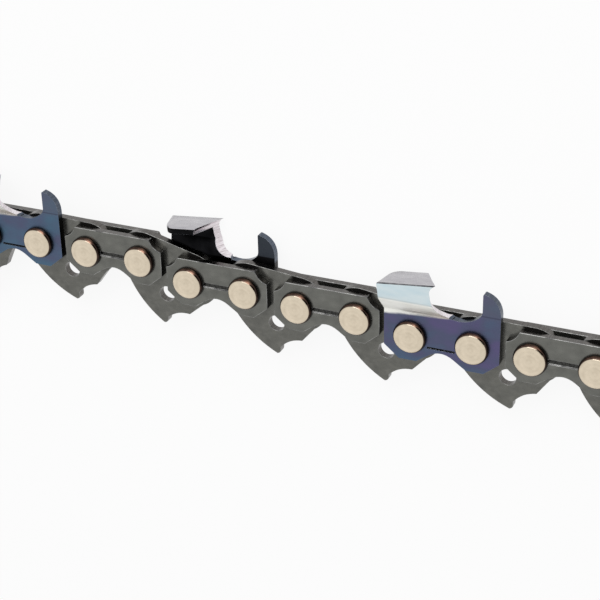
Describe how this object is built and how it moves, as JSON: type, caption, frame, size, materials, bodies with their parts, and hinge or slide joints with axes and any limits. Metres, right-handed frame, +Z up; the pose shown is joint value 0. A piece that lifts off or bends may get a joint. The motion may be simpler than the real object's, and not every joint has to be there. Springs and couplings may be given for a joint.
{
  "type": "saw chain loop",
  "caption": "Closed loop of saw chain: hooked drive links alternate with riveted tie straps and with left and right cutters, and each pivot turns.",
  "frame": {"origin": "middle of the loop, on the surface it lies on", "axes": "+X along the loose run, the way the cutters travel there; +Y out of the loop on that run; +Z up, along the rivets"},
  "size_m": [0.2182, 0.1306, 0.0064],
  "materials": {
    "drive_steel": "dull grey tempered steel",
    "strap_steel": "dark oxide, half gloss",
    "cutter_steel": "blued plate with bright hard facing",
    "rivet_steel": "pale spun heads"
  },
  "bodies": {
    "right_cutter_link_01": {"right_cutter_link_01": "cutter_steel"},
    "drive_link_01": {"drive_link_01": "drive_steel"},
    "tie_link_02": {"tie_link_02": "strap_steel"},
    "drive_link_02": {"drive_link_02": "drive_steel"},
    "left_cutter_link_03": {"left_cutter_link_03": "cutter_steel"},
    "drive_link_03": {"drive_link_03": "drive_steel"},
    "tie_link_04": {"tie_link_04": "strap_steel"},
    "drive_link_04": {"drive_link_04": "drive_steel"},
    "right_cutter_link_05": {"right_cutter_link_05": "cutter_steel"},
    "drive_link_05": {"drive_link_05": "drive_steel"},
    "tie_link_06": {"tie_link_06": "strap_steel"},
    "drive_link_06": {"drive_link_06": "drive_steel"},
    "left_cutter_link_07": {"left_cutter_link_07": "cutter_steel"},
    "drive_link_07": {"drive_link_07": "drive_steel"},
    "tie_link_08": {"tie_link_08": "strap_steel"},
    "drive_link_08": {"drive_link_08": "drive_steel"},
    "right_cutter_link_09": {"right_cutter_link_09": "cutter_steel"},
    "drive_link_09": {"drive_link_09": "drive_steel"},
    "tie_link_10": {"tie_link_10": "strap_steel"},
    "drive_link_10": {"drive_link_10": "drive_steel"},
    "left_cutter_link_11": {"left_cutter_link_11": "cutter_steel"},
    "drive_link_11": {"drive_link_11": "drive_steel"},
    "tie_link_12": {"tie_link_12": "strap_steel"},
    "drive_link_12": {"drive_link_12": "drive_steel"},
    "right_cutter_link_13": {"right_cutter_link_13": "cutter_steel"},
    "drive_link_13": {"drive_link_13": "drive_steel"},
    "tie_link_14": {"tie_link_14": "strap_steel"},
    "drive_link_14": {"drive_link_14": "drive_steel"},
    "left_cutter_link_15": {"left_cutter_link_15": "cutter_steel"},
    "drive_link_15": {"drive_link_15": "drive_steel"},
    "tie_link_16": {"tie_link_16": "strap_steel"},
    "drive_link_16": {"drive_link_16": "drive_steel"},
    "right_cutter_link_17": {"right_cutter_link_17": "cutter_steel"},
    "drive_link_17": {"drive_link_17": "drive_steel"},
    "tie_link_18": {"tie_link_18": "strap_steel"},
    "drive_link_18": {"drive_link_18": "drive_steel"},
    "left_cutter_link_19": {"left_cutter_link_19": "cutter_steel"},
    "drive_link_19": {"drive_link_19": "drive_steel"},
    "tie_link_20": {"tie_link_20": "strap_steel"},
    "drive_link_20": {"drive_link_20": "drive_steel"},
    "right_cutter_link_21": {"right_cutter_link_21": "cutter_steel"},
    "drive_link_21": {"drive_link_21": "drive_steel"},
    "tie_link_22": {"tie_link_22": "strap_steel"},
    "drive_link_22": {"drive_link_22": "drive_steel"},
    "left_cutter_link_23": {"left_cutter_link_23": "cutter_steel"},
    "drive_link_23": {"drive_link_23": "drive_steel"},
    "tie_link_24": {"tie_link_24": "strap_steel"},
    "drive_link_24": {"drive_link_24": "drive_steel"},
    "right_cutter_link_25": {"right_cutter_link_25": "cutter_steel"},
    "drive_link_25": {"drive_link_25": "drive_steel"},
    "tie_link_26": {"tie_link_26": "strap_steel"},
    "drive_link_26": {"drive_link_26": "drive_steel"},
    "left_cutter_link_27": {"left_cutter_link_27": "cutter_steel"},
    "drive_link_27": {"drive_link_27": "drive_steel"},
    "tie_link_28": {"tie_link_28": "strap_steel"},
    "drive_link_28": {"drive_link_28": "drive_steel"}
  },
  "joints": [
    {"name": "drive_link_04_rear_pivot", "type": "hinge", "parent": "tie_link_04", "child": "drive_link_04", "pos_m": [0.01406, 0.05228, 0.0032], "axis": [0, 0, 1], "range_deg": [-12, 12]},
    {"name": "drive_link_04_front_pivot", "type": "hinge", "parent": "drive_link_04", "child": "right_cutter_link_05", "pos_m": [0.02289, 0.05102, 0.0032], "axis": [0, 0, 1], "range_deg": [-12, 12]},
    {"name": "drive_link_05_rear_pivot", "type": "hinge", "parent": "right_cutter_link_05", "child": "drive_link_05", "pos_m": [0.03261, 0.05102, 0.0032], "axis": [0, 0, 1], "range_deg": [-12, 12]},
    {"name": "drive_link_05_front_pivot", "type": "hinge", "parent": "drive_link_05", "child": "tie_link_06", "pos_m": [0.04153, 0.05097, 0.0032], "axis": [0, 0, 1], "range_deg": [-12, 12]},
    {"name": "drive_link_06_rear_pivot", "type": "hinge", "parent": "tie_link_06", "child": "drive_link_06", "pos_m": [0.05125, 0.05097, 0.0032], "axis": [0, 0, 1], "range_deg": [-12, 12]},
    {"name": "drive_link_06_front_pivot", "type": "hinge", "parent": "drive_link_06", "child": "left_cutter_link_07", "pos_m": [0.06004, 0.04942, 0.0032], "axis": [0, 0, 1], "range_deg": [-12, 12]},
    {"name": "drive_link_07_rear_pivot", "type": "hinge", "parent": "left_cutter_link_07", "child": "drive_link_07", "pos_m": [0.06917, 0.0461, 0.0032], "axis": [0, 0, 1], "range_deg": [-12, 12]},
    {"name": "drive_link_07_front_pivot", "type": "hinge", "parent": "drive_link_07", "child": "tie_link_08", "pos_m": [0.0769, 0.04164, 0.0032], "axis": [0, 0, 1], "range_deg": [-12, 12]},
    {"name": "drive_link_08_rear_pivot", "type": "hinge", "parent": "tie_link_08", "child": "drive_link_08", "pos_m": [0.08434, 0.03539, 0.0032], "axis": [0, 0, 1], "range_deg": [-12, 12]},
    {"name": "drive_link_08_front_pivot", "type": "hinge", "parent": "drive_link_08", "child": "right_cutter_link_09", "pos_m": [0.09008, 0.02856, 0.0032], "axis": [0, 0, 1], "range_deg": [-12, 12]},
    {"name": "drive_link_09_rear_pivot", "type": "hinge", "parent": "right_cutter_link_09", "child": "drive_link_09", "pos_m": [0.09494, 0.02014, 0.0032], "axis": [0, 0, 1], "range_deg": [-12, 12]},
    {"name": "drive_link_09_front_pivot", "type": "hinge", "parent": "drive_link_09", "child": "tie_link_10", "pos_m": [0.09799, 0.01176, 0.0032], "axis": [0, 0, 1], "range_deg": [-12, 12]},
    {"name": "drive_link_10_rear_pivot", "type": "hinge", "parent": "tie_link_10", "child": "drive_link_10", "pos_m": [0.09968, 0.00219, 0.0032], "axis": [0, 0, 1], "range_deg": [-12, 12]},
    {"name": "drive_link_10_front_pivot", "type": "hinge", "parent": "drive_link_10", "child": "left_cutter_link_11", "pos_m": [0.09968, -0.00673, 0.0032], "axis": [0, 0, 1], "range_deg": [-12, 12]},
    {"name": "drive_link_11_rear_pivot", "type": "hinge", "parent": "left_cutter_link_11", "child": "drive_link_11", "pos_m": [0.09799, -0.01631, 0.0032], "axis": [0, 0, 1], "range_deg": [-12, 12]},
    {"name": "drive_link_11_front_pivot", "type": "hinge", "parent": "drive_link_11", "child": "tie_link_12", "pos_m": [0.09494, -0.02469, 0.0032], "axis": [0, 0, 1], "range_deg": [-12, 12]},
    {"name": "drive_link_12_rear_pivot", "type": "hinge", "parent": "tie_link_12", "child": "drive_link_12", "pos_m": [0.09008, -0.03311, 0.0032], "axis": [0, 0, 1], "range_deg": [-12, 12]},
    {"name": "drive_link_12_front_pivot", "type": "hinge", "parent": "drive_link_12", "child": "right_cutter_link_13", "pos_m": [0.08434, -0.03994, 0.0032], "axis": [0, 0, 1], "range_deg": [-12, 12]},
    {"name": "drive_link_13_rear_pivot", "type": "hinge", "parent": "right_cutter_link_13", "child": "drive_link_13", "pos_m": [0.0769, -0.04619, 0.0032], "axis": [0, 0, 1], "range_deg": [-12, 12]},
    {"name": "drive_link_13_front_pivot", "type": "hinge", "parent": "drive_link_13", "child": "tie_link_14", "pos_m": [0.06917, -0.05065, 0.0032], "axis": [0, 0, 1], "range_deg": [-12, 12]},
    {"name": "drive_link_14_rear_pivot", "type": "hinge", "parent": "tie_link_14", "child": "drive_link_14", "pos_m": [0.06004, -0.05397, 0.0032], "axis": [0, 0, 1], "range_deg": [-12, 12]},
    {"name": "drive_link_14_front_pivot", "type": "hinge", "parent": "drive_link_14", "child": "left_cutter_link_15", "pos_m": [0.05125, -0.05552, 0.0032], "axis": [0, 0, 1], "range_deg": [-12, 12]},
    {"name": "drive_link_15_rear_pivot", "type": "hinge", "parent": "left_cutter_link_15", "child": "drive_link_15", "pos_m": [0.04153, -0.05552, 0.0032], "axis": [0, 0, 1], "range_deg": [-12, 12]},
    {"name": "drive_link_15_front_pivot", "type": "hinge", "parent": "drive_link_15", "child": "tie_link_16", "pos_m": [0.03262, -0.05533, 0.0032], "axis": [0, 0, 1], "range_deg": [-12, 12]},
    {"name": "drive_link_16_rear_pivot", "type": "hinge", "parent": "tie_link_16", "child": "drive_link_16", "pos_m": [0.0229, -0.05533, 0.0032], "axis": [0, 0, 1], "range_deg": [-7, 12]},
    {"name": "drive_link_16_front_pivot", "type": "hinge", "parent": "drive_link_16", "child": "right_cutter_link_17", "pos_m": [0.01426, -0.05312, 0.0032], "axis": [0, 0, 1], "range_deg": [-12, 7]},
    {"name": "drive_link_17_rear_pivot", "type": "hinge", "parent": "right_cutter_link_17", "child": "drive_link_17", "pos_m": [0.00454, -0.05312, 0.0032], "axis": [0, 0, 1], "range_deg": [-12, 12]},
    {"name": "drive_link_17_front_pivot", "type": "hinge", "parent": "drive_link_17", "child": "tie_link_18", "pos_m": [-0.00434, -0.05228, 0.0032], "axis": [0, 0, 1], "range_deg": [-12, 12]},
    {"name": "drive_link_03_front_pivot", "type": "hinge", "parent": "tie_link_04", "child": "drive_link_03", "pos_m": [0.00434, 0.05228, 0.0032], "axis": [0, 0, 1], "range_deg": [-12, 12]},
    {"name": "drive_link_03_rear_pivot", "type": "hinge", "parent": "drive_link_03", "child": "left_cutter_link_03", "pos_m": [-0.00454, 0.05312, 0.0032], "axis": [0, 0, 1], "range_deg": [-12, 12]},
    {"name": "drive_link_02_front_pivot", "type": "hinge", "parent": "left_cutter_link_03", "child": "drive_link_02", "pos_m": [-0.01426, 0.05312, 0.0032], "axis": [0, 0, 1], "range_deg": [-7, 12]},
    {"name": "drive_link_02_rear_pivot", "type": "hinge", "parent": "drive_link_02", "child": "tie_link_02", "pos_m": [-0.0229, 0.05533, 0.0032], "axis": [0, 0, 1], "range_deg": [-12, 7]},
    {"name": "drive_link_01_front_pivot", "type": "hinge", "parent": "tie_link_02", "child": "drive_link_01", "pos_m": [-0.03262, 0.05533, 0.0032], "axis": [0, 0, 1], "range_deg": [-12, 12]},
    {"name": "drive_link_01_rear_pivot", "type": "hinge", "parent": "drive_link_01", "child": "right_cutter_link_01", "pos_m": [-0.04153, 0.05552, 0.0032], "axis": [0, 0, 1], "range_deg": [-12, 12]},
    {"name": "drive_link_28_front_pivot", "type": "hinge", "parent": "right_cutter_link_01", "child": "drive_link_28", "pos_m": [-0.05125, 0.05552, 0.0032], "axis": [0, 0, 1], "range_deg": [-12, 12]},
    {"name": "drive_link_28_rear_pivot", "type": "hinge", "parent": "drive_link_28", "child": "tie_link_28", "pos_m": [-0.06004, 0.05397, 0.0032], "axis": [0, 0, 1], "range_deg": [-12, 12]},
    {"name": "drive_link_27_front_pivot", "type": "hinge", "parent": "tie_link_28", "child": "drive_link_27", "pos_m": [-0.06917, 0.05065, 0.0032], "axis": [0, 0, 1], "range_deg": [-12, 12]},
    {"name": "drive_link_27_rear_pivot", "type": "hinge", "parent": "drive_link_27", "child": "left_cutter_link_27", "pos_m": [-0.0769, 0.04619, 0.0032], "axis": [0, 0, 1], "range_deg": [-12, 12]},
    {"name": "drive_link_26_front_pivot", "type": "hinge", "parent": "left_cutter_link_27", "child": "drive_link_26", "pos_m": [-0.08434, 0.03994, 0.0032], "axis": [0, 0, 1], "range_deg": [-12, 12]},
    {"name": "drive_link_26_rear_pivot", "type": "hinge", "parent": "drive_link_26", "child": "tie_link_26", "pos_m": [-0.09008, 0.03311, 0.0032], "axis": [0, 0, 1], "range_deg": [-12, 12]},
    {"name": "drive_link_25_front_pivot", "type": "hinge", "parent": "tie_link_26", "child": "drive_link_25", "pos_m": [-0.09494, 0.02469, 0.0032], "axis": [0, 0, 1], "range_deg": [-12, 12]},
    {"name": "drive_link_25_rear_pivot", "type": "hinge", "parent": "drive_link_25", "child": "right_cutter_link_25", "pos_m": [-0.09799, 0.01631, 0.0032], "axis": [0, 0, 1], "range_deg": [-12, 12]},
    {"name": "drive_link_24_front_pivot", "type": "hinge", "parent": "right_cutter_link_25", "child": "drive_link_24", "pos_m": [-0.09968, 0.00673, 0.0032], "axis": [0, 0, 1], "range_deg": [-12, 12]},
    {"name": "drive_link_24_rear_pivot", "type": "hinge", "parent": "drive_link_24", "child": "tie_link_24", "pos_m": [-0.09968, -0.00219, 0.0032], "axis": [0, 0, 1], "range_deg": [-12, 12]},
    {"name": "drive_link_23_front_pivot", "type": "hinge", "parent": "tie_link_24", "child": "drive_link_23", "pos_m": [-0.09799, -0.01176, 0.0032], "axis": [0, 0, 1], "range_deg": [-12, 12]},
    {"name": "drive_link_23_rear_pivot", "type": "hinge", "parent": "drive_link_23", "child": "left_cutter_link_23", "pos_m": [-0.09494, -0.02014, 0.0032], "axis": [0, 0, 1], "range_deg": [-12, 12]},
    {"name": "drive_link_22_front_pivot", "type": "hinge", "parent": "left_cutter_link_23", "child": "drive_link_22", "pos_m": [-0.09008, -0.02856, 0.0032], "axis": [0, 0, 1], "range_deg": [-12, 12]},
    {"name": "drive_link_22_rear_pivot", "type": "hinge", "parent": "drive_link_22", "child": "tie_link_22", "pos_m": [-0.08434, -0.03539, 0.0032], "axis": [0, 0, 1], "range_deg": [-12, 12]},
    {"name": "drive_link_21_front_pivot", "type": "hinge", "parent": "tie_link_22", "child": "drive_link_21", "pos_m": [-0.0769, -0.04164, 0.0032], "axis": [0, 0, 1], "range_deg": [-12, 12]},
    {"name": "drive_link_21_rear_pivot", "type": "hinge", "parent": "drive_link_21", "child": "right_cutter_link_21", "pos_m": [-0.06917, -0.0461, 0.0032], "axis": [0, 0, 1], "range_deg": [-12, 12]},
    {"name": "drive_link_20_front_pivot", "type": "hinge", "parent": "right_cutter_link_21", "child": "drive_link_20", "pos_m": [-0.06004, -0.04942, 0.0032], "axis": [0, 0, 1], "range_deg": [-12, 12]},
    {"name": "drive_link_20_rear_pivot", "type": "hinge", "parent": "drive_link_20", "child": "tie_link_20", "pos_m": [-0.05125, -0.05097, 0.0032], "axis": [0, 0, 1], "range_deg": [-12, 12]},
    {"name": "drive_link_19_front_pivot", "type": "hinge", "parent": "tie_link_20", "child": "drive_link_19", "pos_m": [-0.04153, -0.05097, 0.0032], "axis": [0, 0, 1], "range_deg": [-12, 12]},
    {"name": "drive_link_19_rear_pivot", "type": "hinge", "parent": "drive_link_19", "child": "left_cutter_link_19", "pos_m": [-0.03261, -0.05102, 0.0032], "axis": [0, 0, 1], "range_deg": [-12, 12]},
    {"name": "drive_link_18_front_pivot", "type": "hinge", "parent": "left_cutter_link_19", "child": "drive_link_18", "pos_m": [-0.02289, -0.05102, 0.0032], "axis": [0, 0, 1], "range_deg": [-12, 12]}
  ],
  "couplings": [
    {"joint": "drive_link_01_rear_pivot", "follows": "drive_link_01_front_pivot", "ratio": -1},
    {"joint": "drive_link_15_rear_pivot", "follows": "drive_link_01_front_pivot", "ratio": 1},
    {"joint": "drive_link_15_front_pivot", "follows": "drive_link_01_front_pivot", "ratio": -1},
    {"joint": "drive_link_02_rear_pivot", "follows": "drive_link_02_front_pivot", "ratio": -1},
    {"joint": "drive_link_16_rear_pivot", "follows": "drive_link_02_front_pivot", "ratio": 1},
    {"joint": "drive_link_16_front_pivot", "follows": "drive_link_02_front_pivot", "ratio": -1},
    {"joint": "drive_link_03_rear_pivot", "follows": "drive_link_03_front_pivot", "ratio": -1},
    {"joint": "drive_link_17_rear_pivot", "follows": "drive_link_03_front_pivot", "ratio": 1},
    {"joint": "drive_link_17_front_pivot", "follows": "drive_link_03_front_pivot", "ratio": -1},
    {"joint": "drive_link_04_front_pivot", "follows": "drive_link_04_rear_pivot", "ratio": -1},
    {"joint": "drive_link_18_front_pivot", "follows": "drive_link_04_rear_pivot", "ratio": 1},
    {"joint": "drive_link_05_front_pivot", "follows": "drive_link_05_rear_pivot", "ratio": -1},
    {"joint": "drive_link_19_front_pivot", "follows": "drive_link_05_rear_pivot", "ratio": 1},
    {"joint": "drive_link_19_rear_pivot", "follows": "drive_link_05_rear_pivot", "ratio": -1},
    {"joint": "drive_link_06_front_pivot", "follows": "drive_link_06_rear_pivot", "ratio": -1},
    {"joint": "drive_link_20_front_pivot", "follows": "drive_link_06_rear_pivot", "ratio": 1},
    {"joint": "drive_link_20_rear_pivot", "follows": "drive_link_06_rear_pivot", "ratio": -1},
    {"joint": "drive_link_07_front_pivot", "follows": "drive_link_07_rear_pivot", "ratio": -1},
    {"joint": "drive_link_21_front_pivot", "follows": "drive_link_07_rear_pivot", "ratio": 1},
    {"joint": "drive_link_21_rear_pivot", "follows": "drive_link_07_rear_pivot", "ratio": -1},
    {"joint": "drive_link_08_front_pivot", "follows": "drive_link_08_rear_pivot", "ratio": -1},
    {"joint": "drive_link_22_front_pivot", "follows": "drive_link_08_rear_pivot", "ratio": 1},
    {"joint": "drive_link_22_rear_pivot", "follows": "drive_link_08_rear_pivot", "ratio": -1},
    {"joint": "drive_link_09_front_pivot", "follows": "drive_link_09_rear_pivot", "ratio": -1},
    {"joint": "drive_link_23_front_pivot", "follows": "drive_link_09_rear_pivot", "ratio": 1},
    {"joint": "drive_link_23_rear_pivot", "follows": "drive_link_09_rear_pivot", "ratio": -1},
    {"joint": "drive_link_10_front_pivot", "follows": "drive_link_10_rear_pivot", "ratio": -1},
    {"joint": "drive_link_24_front_pivot", "follows": "drive_link_10_rear_pivot", "ratio": 1},
    {"joint": "drive_link_24_rear_pivot", "follows": "drive_link_10_rear_pivot", "ratio": -1},
    {"joint": "drive_link_25_rear_pivot", "follows": "drive_link_25_front_pivot", "ratio": -1},
    {"joint": "drive_link_11_rear_pivot", "follows": "drive_link_25_front_pivot", "ratio": 1},
    {"joint": "drive_link_11_front_pivot", "follows": "drive_link_25_front_pivot", "ratio": -1},
    {"joint": "drive_link_26_rear_pivot", "follows": "drive_link_26_front_pivot", "ratio": -1},
    {"joint": "drive_link_12_rear_pivot", "follows": "drive_link_26_front_pivot", "ratio": 1},
    {"joint": "drive_link_12_front_pivot", "follows": "drive_link_26_front_pivot", "ratio": -1},
    {"joint": "drive_link_27_rear_pivot", "follows": "drive_link_27_front_pivot", "ratio": -1},
    {"joint": "drive_link_13_rear_pivot", "follows": "drive_link_27_front_pivot", "ratio": 1},
    {"joint": "drive_link_13_front_pivot", "follows": "drive_link_27_front_pivot", "ratio": -1},
    {"joint": "drive_link_28_rear_pivot", "follows": "drive_link_28_front_pivot", "ratio": -1},
    {"joint": "drive_link_14_rear_pivot", "follows": "drive_link_28_front_pivot", "ratio": 1},
    {"joint": "drive_link_14_front_pivot", "follows": "drive_link_28_front_pivot", "ratio": -1}
  ]
}
